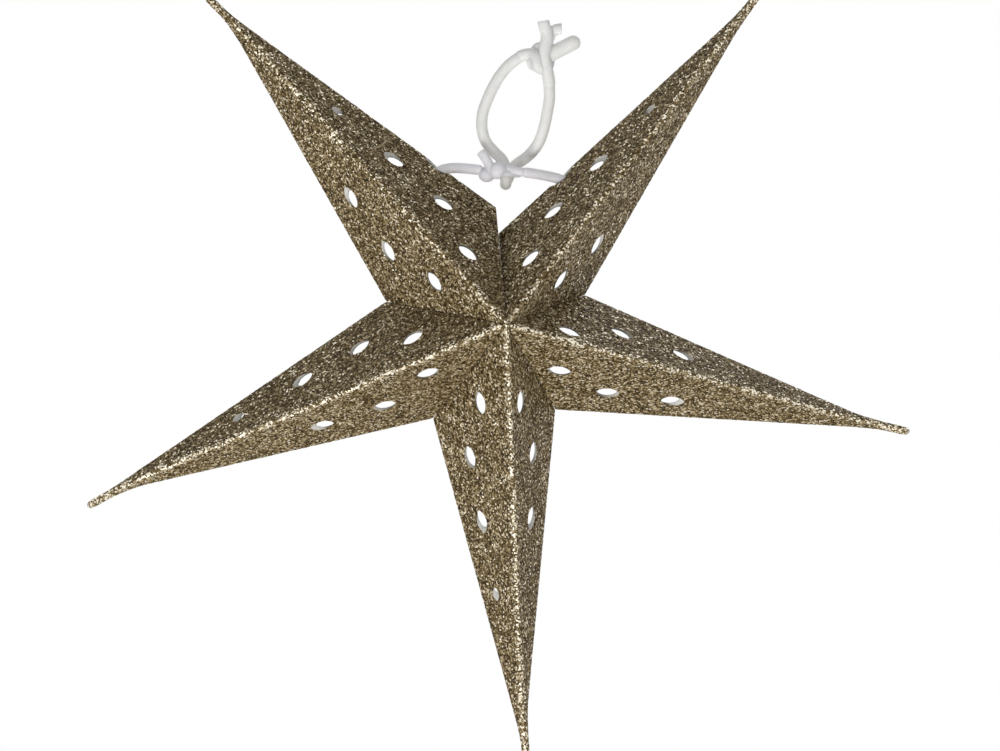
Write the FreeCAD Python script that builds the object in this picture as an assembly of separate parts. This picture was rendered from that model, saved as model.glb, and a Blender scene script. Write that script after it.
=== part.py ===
"""Folded glitter-card star with five hollow points, about 12 cm, with its elastic tie and hanging loop.

Each point is one creased card blank, closed into a hollow spike with four facets. Its side folds lie in
the middle plane of the star and its two ridges stand out to the front and to the back. Glue tabs turned
inwards along the valleys join it to its neighbours, face to face. The two upper points are not glued to
each other: two thin elastics, knotted together, hold them, and a thicker elastic hangs from that knot.

Frame: millimetres, +Z up, the front of the star faces -Y. The origin is the seat of the hook, inside the
top of the hanging loop. The star's own axis runs along Y through HUB.
"""
import FreeCAD, Part
import math
import os

from FreeCAD import Vector

# Where the star's axis lies, seen from the hook seat
HUB_SIDE = -2.8
HUB_HEIGHT = -36.2
HUB = Vector(HUB_SIDE, 0.0, HUB_HEIGHT)

# Card
CARD_THICKNESS = 0.5
APEX_HEIGHT = 17.0           # from the middle plane to the front or back apex
GLUE_TAB_WIDTH = 4.0         # tabs turned inwards along the valleys
SEAM_TAB_WIDTH = 5.0         # tab that closes the blank, inside the back ridge
SEAM_TAB_START = 14.0        # from the sharp tip along the ridge
SEAM_TAB_END = 52.0
SEAM_TAB_SETBACK = 0.6       # from the inner crease of the ridge

# Pinched ends, where the facets are pressed together
PINCH_START = 4.5            # from the sharp tip inwards
PINCH_OVERHANG = 1.8         # from the sharp tip outwards
PINCH_SLIT = 0.5             # left between the pressed layers
PINCH_DEPTH_SPARE = 0.35     # half depth of the end, beyond one card
HOLLOW_SPARE = 0.25          # half gap at which the hollow closes
ROUNDING_SHARE = 0.85        # most that a fold's rounding takes of a section's inner radius

# Punched eyes: distance from the sharp tip along the side fold, distance from that fold, length, width
EYES = (
    (22.4, 3.4, 1.9, 1.3),
    (32.7, 4.7, 3.3, 2.1),
    (41.8, 6.0, 3.3, 2.1),
    (48.7, 11.5, 3.3, 2.1),
)
LAST_EYE_TURN = 8.0          # degrees, towards the ridge

# Slots for the tie, punched across one side fold of each upper point
SLOT_FROM_TIP = 37.9
SLOT_LENGTH = 4.2
SLOT_WIDTH = 2.5

# Points: name, direction in degrees from +X towards +Z, reach of the sharp tip, sideways bend of its end
POINTS = (
    ("star_point_upper_right", 52.7, 58.3, 0.0),
    ("star_point_upper_left", 132.1, 60.3, 0.4),
    ("star_point_left", 202.8, 61.8, 0.7),
    ("star_point_bottom", 272.3, 59.8, 0.4),
    ("star_point_right", 344.8, 56.2, 0.3),
)

# How each point's punches lie by hand: shift along the side folds, then how much wider than the pattern they
# stand from the anticlockwise and from the clockwise side fold, then how many eyes at the tip each side lacks
PUNCHING = (
    (0.0, 0.95, 0.87, 0, 2),
    (0.0, 1.04, 1.11, 1, 0),
    (0.0, 1.06, 0.95, 1, 0),
    (0.0, 1.03, 0.99, 1, 0),
    (-1.4, 1.12, 0.86, 1, 1),
)

# Valleys between the points: direction in degrees and distance from the star's axis
SEAM_RIGHT = (94.8, 12.9)    # inner corner of the upper right point, not glued
SEAM_LEFT = (98.0, 16.9)     # inner corner of the upper left point, not glued
VALLEY_UPPER_LEFT = (169.1, 17.3)
VALLEY_LOWER_LEFT = (231.8, 16.8)
VALLEY_LOWER_RIGHT = (299.8, 13.8)
VALLEY_UPPER_RIGHT = (20.8, 11.8)
SEAM_CORNER_RADIUS = 1.5     # the inner corner of the upper right point is rounded

# Elastics
TIE_DIAMETER = 1.2
STOPPER_DIAMETER = 2.6       # knot inside each upper point
HANGER_DIAMETER = 1.6

# Routes of the elastics, chosen by hand, in this part's own frame
HANGER_ROUTE = (
    (-0.5, 0.0, 1.4), (-2.0, 0.0, 0.6), (-3.8, 0.0, -1.4), (-5.3, 0.1, -4.2), (-6.4, 0.2, -7.2),
    (-6.1, 0.2, -10.2), (-4.7, 0.1, -12.0), (-3.0, -0.1, -13.5), (-2.9, -0.1, -16.6),
    (-3.0, 3.0, -16.6), (-1.9, 3.1, -14.0), (0.0, 2.4, -12.9), (1.6, 1.5, -11.1),
    (2.4, 0.9, -8.9), (2.9, 0.5, -6.4), (3.3, 0.2, -4.0), (3.0, 0.0, -1.9),
)
TIE_LEFT_ROUTE = (
    (-13.9, 0.0, -16.1), (-12.3, 0.0, -14.4), (-10.6, -0.3, -14.0), (-8.3, -0.9, -14.0), (-6.4, -1.5, -14.6),
)
TIE_RIGHT_ROUTE = (
    (6.6, 0.0, -16.6), (4.8, 0.0, -15.5), (3.1, -0.3, -15.2), (1.5, -0.9, -14.9), (-0.2, -1.6, -15.0),
)

# Knot that joins the two tie elastics: one turn of it is a ring that the hanging loop runs through
TIE_RING_CENTRE = Vector(-2.9, -0.1, -15.1)
TIE_RING_CLEARANCE = 0.2     # between the ring and the hanging loop
TIE_RING_RADIUS = (HANGER_DIAMETER + TIE_DIAMETER) / 2.0 + TIE_RING_CLEARANCE
TIE_LUMP_SWELL = 0.65        # a lump's radius beyond the tie's own
TIE_LUMPS = (Vector(-5.2, -1.7, -15.2), Vector(-3.9, -2.1, -14.3))
TIE_TAIL = (Vector(-5.1, -1.9, -14.4), Vector(-6.4, -1.5, -12.1))
TIE_TAIL_SWELL = 0.2         # a slack tail's diameter beyond the tie's own

# Knot at the top of the hanging loop
KNOT_CENTRE = Vector(1.6, 0.0, 0.9)
KNOT_LUMPS = (
    (Vector(1.8, 0.1, 1.9), 1.4),
    (Vector(1.4, -0.1, 0.1), 1.45),
)
KNOT_WRAP_RADIUS = 0.9
KNOT_WRAP_AXIS = Vector(0.3, 0.2, 1.0)
KNOT_TAILS = (
    (Vector(2.3, -0.3, 2.0), Vector(2.7, -0.4, 4.6), Vector(2.2, -0.6, 5.9)),
    (Vector(2.6, 0.5, 2.0), Vector(3.1, 0.4, 4.3), Vector(4.4, 0.3, 5.5)),
)
KNOT_BIGHT = (Vector(2.2, 0.2, 1.0), Vector(6.6, 0.6, 3.1))
KNOT_BIGHT_DIAMETER = 2.1
BALL_SWELL = 0.03            # radius of a knot's ball beyond the strand that ends in it
KNOT_SQUEEZE = 0.2           # how much thinner the tie is where its knot pulls it tight

# Room for cutting tools
CUT_MARGIN = 0.5
FAR = 90.0
CORD_ARC_SHARE = 0.45        # arc size of a cord's bend, as a share of the shorter run beside it


def in_plane(direction, distance):
    """Point of the middle plane at a direction in degrees and a distance from the star's axis."""
    angle = math.radians(direction)
    return Vector(distance * math.cos(angle), 0.0, distance * math.sin(angle))


FRONT_APEX = Vector(0.0, -APEX_HEIGHT, 0.0)
BACK_APEX = Vector(0.0, APEX_HEIGHT, 0.0)


def crossing(plane_a, plane_b, plane_c):
    """Point where three planes meet, each given as (unit normal, offset along it)."""
    (na, a), (nb, b), (nc, c) = plane_a, plane_b, plane_c
    volume = na.dot(nb.cross(nc))
    return (nb.cross(nc) * a + nc.cross(na) * b + na.cross(nb) * c) * (1.0 / volume)


def inset_distance(corners):
    """Radius of the largest circle round the middle of a four-cornered section that stays inside it."""
    middle = (corners[0] + corners[1] + corners[2] + corners[3]) * 0.25
    gaps = []
    for start, end in zip(corners, corners[1:] + corners[:1]):
        side = (end - start).normalize()
        gaps.append((middle - start).cross(side).Length)
    return min(gaps)


def rounded_section(corners, radius):
    """Closed wire through four corners, each rounded by an arc of the radius or what the section allows."""
    radius = min(radius, ROUNDING_SHARE * inset_distance(corners))
    count = len(corners)
    arcs = []
    for i, corner in enumerate(corners):
        back = (corners[i - 1] - corner).normalize()
        ahead = (corners[(i + 1) % count] - corner).normalize()
        half = back.getAngle(ahead) / 2.0
        reach = radius / math.tan(half)
        inward = (back + ahead).normalize()
        middle = corner + inward * (radius / math.sin(half) - radius)
        arcs.append((corner + back * reach, middle, corner + ahead * reach))
    edges = []
    for i, (start, middle, end) in enumerate(arcs):
        edges.append(Part.Arc(start, middle, end).toShape())
        edges.append(Part.LineSegment(end, arcs[(i + 1) % count][0]).toShape())
    return Part.Wire(edges)


def sector(first, last, first_inset, last_inset):
    """Prism between two half planes through the star's axis, each moved inwards by its inset."""
    first_normal = Vector(-first.z, 0.0, first.x).normalize()
    last_normal = Vector(last.z, 0.0, -last.x).normalize()
    middle_plane = (Vector(0.0, 1.0, 0.0), -FAR)
    root = crossing((first_normal, first_inset), (last_normal, last_inset), middle_plane)
    along_first = Vector(first).normalize() * FAR
    along_last = Vector(last).normalize() * FAR
    outline = [root, root + along_first, root + along_first + along_last, root + along_last, root]
    return Part.Face(Part.makePolygon(outline)).extrude(Vector(0.0, 2.0 * FAR, 0.0))


def eye(centre, along, across, outward, length, width):
    """Pointed oval punch through one facet, its long axis along the facet's side fold."""
    tip_a = centre - along * (length / 2.0)
    tip_b = centre + along * (length / 2.0)
    side_a = centre + across * (width / 2.0)
    side_b = centre - across * (width / 2.0)
    outline = Part.Wire([Part.Arc(tip_a, side_a, tip_b).toShape(), Part.Arc(tip_b, side_b, tip_a).toShape()])
    face = Part.Face(outline)
    face.translate(outward * CUT_MARGIN)
    return face.extrude(outward * -(2.0 * CARD_THICKNESS + 2.0 * CUT_MARGIN))


class Facet:
    """One of the four flat sides of a point, with its own directions in the card."""

    def __init__(self, tip, corner, apex, inside):
        self.tip = tip
        self.along = (corner - tip).normalize()
        normal = self.along.cross(apex - tip).normalize()
        self.inward = normal if normal.dot(inside - tip) > 0.0 else normal * -1.0
        across = self.inward.cross(self.along).normalize()
        self.across = across if across.dot(apex - tip) > 0.0 else across * -1.0

    def plane(self, depth):
        """The facet's plane, moved inwards by a depth."""
        return self.inward, self.inward.dot(self.tip) + depth

    def at(self, from_tip, from_fold):
        """Point of the outer face, by its distances from the sharp tip and from the side fold."""
        return self.tip + self.along * from_tip + self.across * from_fold


class StarPoint:
    """A hollow card spike between two valleys."""

    def __init__(self, direction, reach, bend, punching, first, last, first_glued, last_glued):
        self.outward = in_plane(direction, 1.0)
        self.tip = in_plane(direction, reach)
        self.reach = reach
        self.bend = bend
        self.eye_shift, self.first_spread, self.last_spread, self.first_lacks, self.last_lacks = punching
        self.first = in_plane(*first)
        self.last = in_plane(*last)
        self.first_glued = first_glued
        self.last_glued = last_glued
        inside = self.tip - self.outward * (reach / 2.0)
        self.front_first = Facet(self.tip, self.first, FRONT_APEX, inside)
        self.front_last = Facet(self.tip, self.last, FRONT_APEX, inside)
        self.back_last = Facet(self.tip, self.last, BACK_APEX, inside)
        self.back_first = Facet(self.tip, self.first, BACK_APEX, inside)
        self.facets = (self.front_first, self.front_last, self.back_last, self.back_first)

    def corners(self, from_tip, depth):
        """Corners of the section across the point at a distance from the tip, inside by a depth."""
        station = (self.outward, self.outward.dot(self.tip) - from_tip)
        planes = [facet.plane(depth) for facet in self.facets]
        return [crossing(planes[i - 1], planes[i], station) for i in range(4)]

    def pinched_end(self):
        """Corners of the blunt end, where the layers are pressed together."""
        side = Vector(-self.outward.z, 0.0, self.outward.x)
        centre = self.tip + self.outward * PINCH_OVERHANG + side * self.bend
        half_width = CARD_THICKNESS + PINCH_SLIT / 2.0
        half_depth = CARD_THICKNESS + PINCH_DEPTH_SPARE
        to_first = side if side.dot(self.first - self.last) > 0.0 else side * -1.0
        depth = Vector(0.0, half_depth, 0.0)
        return [centre + to_first * half_width, centre - depth, centre - to_first * half_width, centre + depth]

    def outer(self):
        """Closed spike with rounded folds, cut off at the two half planes through the valleys."""
        pinch = self.corners(PINCH_START, 0.0)
        sections = [self.pinched_end(), pinch, self.corners(self.reach + APEX_HEIGHT, 0.0)]
        wires = [rounded_section(section, CARD_THICKNESS) for section in sections]
        spike = Part.makeLoft(wires, True, True)
        return spike.common(sector(self.last, self.first, 0.0, 0.0))

    def hollow(self):
        """Room inside the card."""
        closing = (CARD_THICKNESS + HOLLOW_SPARE) / inset_distance(self.corners(1.0, 0.0))
        stations = (closing, self.reach + APEX_HEIGHT)
        wires = []
        for station in stations:
            corners = self.corners(station, CARD_THICKNESS)
            wires.append(Part.makePolygon(corners + corners[:1]))
        room = Part.makeLoft(wires, True, True)
        first_inset = CARD_THICKNESS if self.first_glued else -CUT_MARGIN
        last_inset = CARD_THICKNESS if self.last_glued else -CUT_MARGIN
        return room.common(sector(self.last, self.first, last_inset, first_inset))

    def window(self, valley):
        """Opening between the glue tabs of one valley, as a prism across the wall they lie in."""
        radial = Vector(valley).normalize()
        slope = math.atan2(APEX_HEIGHT, valley.Length)
        tip = radial * (valley.Length - GLUE_TAB_WIDTH / math.sin(slope))
        half_height = APEX_HEIGHT - GLUE_TAB_WIDTH / math.cos(slope)
        top = Vector(0.0, half_height, 0.0)
        behind = radial * -CUT_MARGIN
        outline = [tip, top + behind, behind - top, tip]
        normal = Vector(-radial.z, 0.0, radial.x)
        face = Part.Face(Part.makePolygon(outline))
        face.translate(normal * -(CARD_THICKNESS + CUT_MARGIN))
        return face.extrude(normal * 2.0 * (CARD_THICKNESS + CUT_MARGIN))

    def seam_tab(self):
        """Glue tab inside the back ridge that closes the blank."""
        facet = self.back_first
        ridge = (BACK_APEX - self.tip).normalize()
        away = facet.inward.cross(ridge).normalize()
        away = away if away.dot(self.first - self.tip) > 0.0 else away * -1.0
        near, far = SEAM_TAB_SETBACK, SEAM_TAB_SETBACK + SEAM_TAB_WIDTH
        taper = SEAM_TAB_WIDTH
        base = self.tip + facet.inward * (CARD_THICKNESS / 2.0)
        inner_crease = CARD_THICKNESS / math.tan(facet.inward.getAngle(self.back_last.inward * -1.0) / 2.0)
        places = (
            (SEAM_TAB_START, near), (SEAM_TAB_START + taper, far),
            (SEAM_TAB_END - taper, far), (SEAM_TAB_END, near),
        )
        outline = [base + ridge * length + away * (inner_crease + width) for length, width in places]
        face = Part.Face(Part.makePolygon(outline + outline[:1]))
        return face.extrude(facet.inward * (1.5 * CARD_THICKNESS))

    def eyes(self):
        """All punches of the eye pattern, the same on the front and the back of each side."""
        punches = []
        for facet in self.facets:
            on_first = facet in (self.front_first, self.back_first)
            spread = self.first_spread if on_first else self.last_spread
            lacks = self.first_lacks if on_first else self.last_lacks
            for number, (from_tip, from_fold, length, width) in enumerate(EYES):
                if number < lacks:
                    continue
                turn = math.radians(LAST_EYE_TURN if number == len(EYES) - 1 else 0.0)
                along = facet.along * math.cos(turn) + facet.across * math.sin(turn)
                across = facet.across * math.cos(turn) - facet.along * math.sin(turn)
                centre = facet.at(from_tip + self.eye_shift, from_fold * spread)
                punches.append(eye(centre, along, across, facet.inward * -1.0, length, width))
        return punches

    def tie_slot(self):
        """Cut across the side fold that is not glued, pointed at both ends, as wide in the card as stated."""
        facet = self.front_last if self.first_glued else self.front_first
        outward = Vector(-facet.across.x, 0.0, -facet.across.z).normalize()
        width = SLOT_WIDTH * abs(facet.across.y)
        centre = facet.at(SLOT_FROM_TIP, 0.0)
        return eye(centre, facet.along, Vector(0.0, 1.0, 0.0), outward, SLOT_LENGTH, width)

    def build(self):
        """The folded card as one solid."""
        card = self.outer().cut(self.hollow()).fuse(self.seam_tab())
        cuts = self.eyes()
        if self.first_glued:
            cuts.append(self.window(self.first))
        if self.last_glued:
            cuts.append(self.window(self.last))
        if not (self.first_glued and self.last_glued):
            cuts.append(self.tie_slot())
        return card.cut(cuts)


def rounded_seam_corner(corner, tip):
    """Sliver outside the rounded inner corner of a point, from its side fold to its cut edge."""
    to_tip = (tip - corner).normalize()
    to_hub = Vector(corner).normalize() * -1.0
    half = to_tip.getAngle(to_hub) / 2.0
    reach = SEAM_CORNER_RADIUS / math.tan(half)
    middle_way = (to_tip + to_hub).normalize()
    middle = corner + middle_way * (SEAM_CORNER_RADIUS / math.sin(half) - SEAM_CORNER_RADIUS)
    start, end = corner + to_tip * reach, corner + to_hub * reach
    outside = corner - middle_way * CUT_MARGIN
    edges = [Part.Arc(start, middle, end).toShape()]
    for a, b in ((end, end - to_tip * CUT_MARGIN), (end - to_tip * CUT_MARGIN, outside),
                 (outside, start - to_hub * CUT_MARGIN), (start - to_hub * CUT_MARGIN, start)):
        edges.append(Part.LineSegment(a, b).toShape())
    face = Part.Face(Part.Wire(edges))
    face.translate(Vector(0.0, -APEX_HEIGHT, 0.0))
    return face.extrude(Vector(0.0, 2.0 * APEX_HEIGHT, 0.0))


def tube(name, route, diameter):
    """Round cord along straight runs that tangent arcs join, each arc as large as its two runs allow."""
    places = [Vector(*place) for place in route]
    edges = []
    start = places[0]
    radii = []
    for before, corner, after in zip(places, places[1:], places[2:]):
        back, ahead = before - corner, after - corner
        reach = CORD_ARC_SHARE * min(back.Length, ahead.Length)
        turn = math.pi - back.getAngle(ahead)
        radius = reach / math.tan(turn / 2.0)
        radii.append(radius)
        back.normalize()
        ahead.normalize()
        arc_start, arc_end = corner + back * reach, corner + ahead * reach
        middle_way = (back + ahead).normalize()
        middle = corner + middle_way * (radius / math.cos(turn / 2.0) - radius)
        edges.append(Part.LineSegment(start, arc_start).toShape())
        edges.append(Part.Arc(arc_start, middle, arc_end).toShape())
        start = arc_end
    edges.append(Part.LineSegment(start, places[-1]).toShape())
    path = Part.Wire(edges)
    first_way = (places[1] - places[0]).normalize()
    circle = Part.Wire(Part.makeCircle(diameter / 2.0, places[0], first_way))
    solid = path.makePipeShell([circle], True, False)
    expected = math.pi * diameter ** 2 / 4.0 * path.Length
    print("%s: length %.1f mm, radii %s, volume %.2f mm3, section times length %.2f mm3" % (
        name, path.Length, " ".join("%.1f" % radius for radius in radii), solid.Volume, expected))
    return solid


def rod(start, end, diameter):
    """Straight round piece between two points, with flat ends."""
    return Part.makeCylinder(diameter / 2.0, (end - start).Length, start, end - start)


def blunt_rod(start, end, diameter):
    """Straight round piece with a ball at its far end."""
    return rod(start, end, diameter).fuse(Part.makeSphere(diameter / 2.0 + BALL_SWELL, end))


def stub(route, towards, diameter, inner_diameter):
    """Start of a knot's strand: it meets the first face of a cord's route and reaches into the knot."""
    face = Vector(*route[0])
    into = (face - Vector(*route[1])).normalize()
    bend = face + into * diameter / 2.0
    ball = Part.makeSphere(diameter / 2.0 + BALL_SWELL, bend)
    return rod(face, bend, diameter).fuse([ball, rod(bend, towards, inner_diameter)])


def tie_knot():
    """Knot of the two tie elastics, with the turn that the hanging loop runs through."""
    ring = Part.makeTorus(TIE_RING_RADIUS, TIE_DIAMETER / 2.0, TIE_RING_CENTRE, Vector(0.0, 0.0, 1.0))
    front_of_ring = TIE_RING_CENTRE - Vector(0.0, TIE_RING_RADIUS, 0.0)
    squeezed = TIE_DIAMETER - KNOT_SQUEEZE
    pieces = [Part.makeSphere(TIE_DIAMETER / 2.0 + TIE_LUMP_SWELL, centre) for centre in TIE_LUMPS]
    pieces.append(blunt_rod(TIE_TAIL[0], TIE_TAIL[1], TIE_DIAMETER + TIE_TAIL_SWELL))
    pieces.append(stub(TIE_LEFT_ROUTE[::-1], TIE_LUMPS[0], TIE_DIAMETER, squeezed))
    pieces.append(stub(TIE_RIGHT_ROUTE[::-1], front_of_ring, TIE_DIAMETER, squeezed))
    pieces.append(rod(TIE_LUMPS[0], front_of_ring, squeezed))
    return ring.fuse(pieces)


def tie_elastic(name, route):
    """One tie elastic, from the stopper knot inside its point to the knot in the middle."""
    stopper = Part.makeSphere(STOPPER_DIAMETER / 2.0, Vector(*route[0]))
    return tube(name, route, TIE_DIAMETER).fuse(stopper)


def hanging_knot():
    """Knot at the top of the hanging loop, with its two cut tails and the thick folded-back end."""
    body = Part.makeTorus(KNOT_WRAP_RADIUS, HANGER_DIAMETER / 2.0, KNOT_CENTRE, KNOT_WRAP_AXIS)
    pieces = [Part.makeSphere(radius, centre) for centre, radius in KNOT_LUMPS]
    pieces.append(stub(HANGER_ROUTE, KNOT_CENTRE, HANGER_DIAMETER, HANGER_DIAMETER))
    pieces.append(stub(HANGER_ROUTE[::-1], KNOT_CENTRE, HANGER_DIAMETER, HANGER_DIAMETER))
    for root, bend, end in KNOT_TAILS:
        pieces.append(blunt_rod(root, bend, HANGER_DIAMETER))
        pieces.append(rod(bend, end, HANGER_DIAMETER))
    pieces.append(blunt_rod(KNOT_BIGHT[0], KNOT_BIGHT[1], KNOT_BIGHT_DIAMETER))
    return body.fuse(pieces)


def star_points():
    """The five card points, in the part's frame."""
    gaps = (
        (SEAM_RIGHT, VALLEY_UPPER_RIGHT, False, True),
        (VALLEY_UPPER_LEFT, SEAM_LEFT, True, False),
        (VALLEY_LOWER_LEFT, VALLEY_UPPER_LEFT, True, True),
        (VALLEY_LOWER_RIGHT, VALLEY_LOWER_LEFT, True, True),
        (VALLEY_UPPER_RIGHT, VALLEY_LOWER_RIGHT, True, True),
    )
    shapes = {}
    for (name, direction, reach, bend), punching, gap in zip(POINTS, PUNCHING, gaps):
        first, last, first_glued, last_glued = gap
        point = StarPoint(direction, reach, bend, punching, first, last, first_glued, last_glued)
        shape = point.build()
        if first is SEAM_RIGHT:
            shape = shape.cut(rounded_seam_corner(point.first, point.tip))
        shape.translate(HUB)
        shapes[name] = shape
    return shapes


def build():
    """Every node of the part, by name."""
    nodes = star_points()
    nodes["tie_elastic_left"] = tie_elastic("tie_elastic_left", TIE_LEFT_ROUTE)
    nodes["tie_elastic_right"] = tie_elastic("tie_elastic_right", TIE_RIGHT_ROUTE)
    nodes["tie_knot"] = tie_knot()
    nodes["hanging_elastic"] = tube("hanging_elastic", HANGER_ROUTE, HANGER_DIAMETER)
    nodes["hanging_knot"] = hanging_knot()
    return nodes


def main():
    """Write one STEP file for each node."""
    os.makedirs("parts", exist_ok=True)
    for name, shape in build().items():
        shape.exportStep("parts/%s.step" % name)
        print("%s: %d solid, valid %s, %.1f mm3" % (name, len(shape.Solids), shape.isValid(), shape.Volume))


main()
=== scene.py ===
"""Looks of a folded glitter-card star: five hollow points, an elastic tie and a hanging loop.

Lengths are metres and angles are degrees, unless a name says otherwise. The frame is the part's
own: +Z up, the front of the star faces -Y, and the origin is the seat of the hook inside the top of
the hanging loop. The star's own axis runs along Y through HUB.
"""
import logging
import math
from dataclasses import dataclass
from enum import Enum

import bpy
import numpy as np
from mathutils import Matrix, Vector


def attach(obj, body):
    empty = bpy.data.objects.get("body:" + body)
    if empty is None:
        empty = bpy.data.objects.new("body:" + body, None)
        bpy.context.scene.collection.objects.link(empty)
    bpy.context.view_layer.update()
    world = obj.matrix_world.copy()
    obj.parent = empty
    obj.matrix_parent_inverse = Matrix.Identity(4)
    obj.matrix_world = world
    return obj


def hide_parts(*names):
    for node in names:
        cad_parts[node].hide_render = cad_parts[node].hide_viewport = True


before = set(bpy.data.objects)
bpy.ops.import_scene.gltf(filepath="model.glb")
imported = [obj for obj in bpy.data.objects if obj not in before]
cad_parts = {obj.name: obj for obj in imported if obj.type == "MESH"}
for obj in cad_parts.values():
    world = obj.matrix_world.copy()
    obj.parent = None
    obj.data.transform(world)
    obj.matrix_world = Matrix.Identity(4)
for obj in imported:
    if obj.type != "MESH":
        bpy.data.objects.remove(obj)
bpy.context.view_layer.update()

LOG = logging.getLogger("paper_star")

BODY = "root"

HUB = np.array((-0.0028, 0.0, -0.0362))
DEPTH_WAY = np.array((0.0, 1.0, 0.0))

APEX_HEIGHT = 0.017
CARD_THICKNESS = 0.00032

# A share or a length below this counts as zero
NOTHING = 1e-9
# A cut that is nearer to a vertex than this share of the edge goes through the vertex
SNAP_SHARE = 0.12
# A direction that no strand and no lump follows
OBLIQUE = (0.31, 0.87, 0.39)


def unit(vector: np.ndarray) -> np.ndarray:
    """Return the vector, or each row of an array of vectors, at length one."""
    vector = np.asarray(vector, float)
    return vector / np.maximum(np.linalg.norm(vector, axis=-1, keepdims=True), 1e-12)


def in_plane(direction: float, distance: float) -> np.ndarray:
    """Return an offset in the star's middle plane, at a direction in degrees from +X towards +Z."""
    angle = math.radians(direction)
    return np.array((distance * math.cos(angle), 0.0, distance * math.sin(angle)))


def millimetres(*places: tuple) -> tuple:
    """Return places that are given in millimetres, in metres."""
    return tuple(tuple(part / 1000.0 for part in place) for place in places)


def plane_through(points: tuple, inside: np.ndarray) -> tuple:
    """Return the plane through three points, as its unit normal and its offset along the normal.

    The normal looks to the side of the place inside.
    """
    a, b, c = points
    normal = unit(np.cross(b - a, c - a))
    if normal @ (inside - a) < 0.0:
        normal = -normal
    return normal, normal @ a


def meeting_point(planes: list) -> np.ndarray:
    """Return the point where three planes, each a normal and an offset, meet."""
    normals, offsets = zip(*planes)
    return np.linalg.solve(np.array(normals), np.array(offsets))


def joined_rows(row_a: np.ndarray, row_b: np.ndarray) -> np.ndarray:
    """Return the triangles between two rows of vertex numbers, which may differ in length.

    Each interval of the first row takes the place of the second row that is nearest to its middle,
    and each interval of the second row takes the place of the first row where that choice changes.
    """
    a, b = len(row_a) - 1, len(row_b) - 1
    i, j = np.arange(a), np.arange(b)
    apex_b = np.floor((i + 0.5) * b / a + 0.5).astype(int)
    apex_a = np.searchsorted(apex_b, j, side="right")
    first = np.stack((row_a[i], row_a[i + 1], row_b[apex_b]), axis=1)
    second = np.stack((row_b[j + 1], row_b[j], row_a[apex_a]), axis=1)
    return np.concatenate((first, second))


def facet_span(ring: np.ndarray, facet: int) -> np.ndarray:
    """Return the vertex numbers of a closed ring along one of its four facets, with both folds."""
    count = len(ring) // 4
    return np.append(ring, ring[0])[facet * count:(facet + 1) * count + 1]


def in_facet(values: np.ndarray, facet: int) -> np.ndarray:
    """Return which places lie in a facet or beyond it, where the other two folds have no share."""
    return values[:, [(facet + 2) % 4, (facet + 3) % 4]].max(axis=1) < NOTHING


def on_tab(values: np.ndarray) -> np.ndarray:
    """Return which places lie on a glue tab."""
    return values[:, 4:].max(axis=1) > 0.0


def rounded(away: np.ndarray, width: np.ndarray) -> np.ndarray:
    """Return how far a rounded fold lies inside the sharp one, at a distance from it."""
    return width / 2.0 * (1.0 - away / np.maximum(width, NOTHING)) ** 2


def lens_field(x: np.ndarray, y: np.ndarray, length: float, width: float) -> np.ndarray:
    """Distance from a pointed oval, which two arcs through its ends make, negative inside it.

    The arcs have the radius (length squared + width squared) / (4 width).
    """
    radius = (length ** 2 + width ** 2) / (4.0 * width)
    shift = radius - width / 2.0
    return np.maximum(np.hypot(x, y + shift), np.hypot(x, y - shift)) - radius


def directed_edges(faces: np.ndarray) -> np.ndarray:
    """Return the three directed edges of every triangle."""
    return np.concatenate((faces[:, [0, 1]], faces[:, [1, 2]], faces[:, [2, 0]]))


def cut_faces(values: np.ndarray, faces: np.ndarray, field: np.ndarray) -> tuple:
    """Cut triangles along the line where a field is zero and keep the positive side.

    Every edge that crosses the line gets a new place there, by its two ends' shares, and each
    triangle that crosses it is split at those places.

    Args:
        values: one row of numbers for each vertex, which run straight along each edge.
        faces: vertex numbers, three for each triangle.
        field: the field's value at each vertex.

    Returns:
        The new rows of numbers and the new triangles.
    """
    edges = np.sort(directed_edges(faces), axis=1)
    edges = np.unique(edges[field[edges].prod(axis=1) < 0.0], axis=0)
    if len(edges) == 0:
        return values, faces[field[faces].max(axis=1) > 0.0]
    low, high = field[edges].T
    share = low / (low - high)
    field = field.copy()
    field[edges[share < SNAP_SHARE, 0]] = 0.0
    field[edges[share > 1.0 - SNAP_SHARE, 1]] = 0.0
    edges = edges[field[edges].prod(axis=1) < 0.0]
    low, high = field[edges].T[:, :, None]
    share = low / (low - high)
    fresh = values[edges[:, 0]] * (1.0 - share) + values[edges[:, 1]] * share
    made = {tuple(edge): len(values) + number for number, edge in enumerate(edges)}
    sign = np.sign(field)[faces]
    lowest, highest = sign.min(axis=1), sign.max(axis=1)
    mixed = (lowest < 0) & (highest > 0)
    kept = [faces[(lowest >= 0) & (highest > 0)]]
    for face, lead in zip(faces[mixed], sign[mixed].argmin(axis=1)):
        ring = []
        for a, b in zip(np.roll(face, -lead), np.roll(face, -lead - 1)):
            if field[a] >= 0.0:
                ring.append(a)
            if (min(a, b), max(a, b)) in made:
                ring.append(made[min(a, b), max(a, b)])
        kept.append(np.array([(ring[0], *pair) for pair in zip(ring[1:], ring[2:])]))
    return np.concatenate((values, fresh)), np.concatenate(kept)


def rim_edges(faces: np.ndarray) -> np.ndarray:
    """Return the directed edges that only one triangle uses."""
    directed = directed_edges(faces)
    keys = np.sort(directed, axis=1)
    _, inverse, count = np.unique(keys, axis=0, return_inverse=True, return_counts=True)
    return directed[count[inverse.ravel()] == 1]


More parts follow.
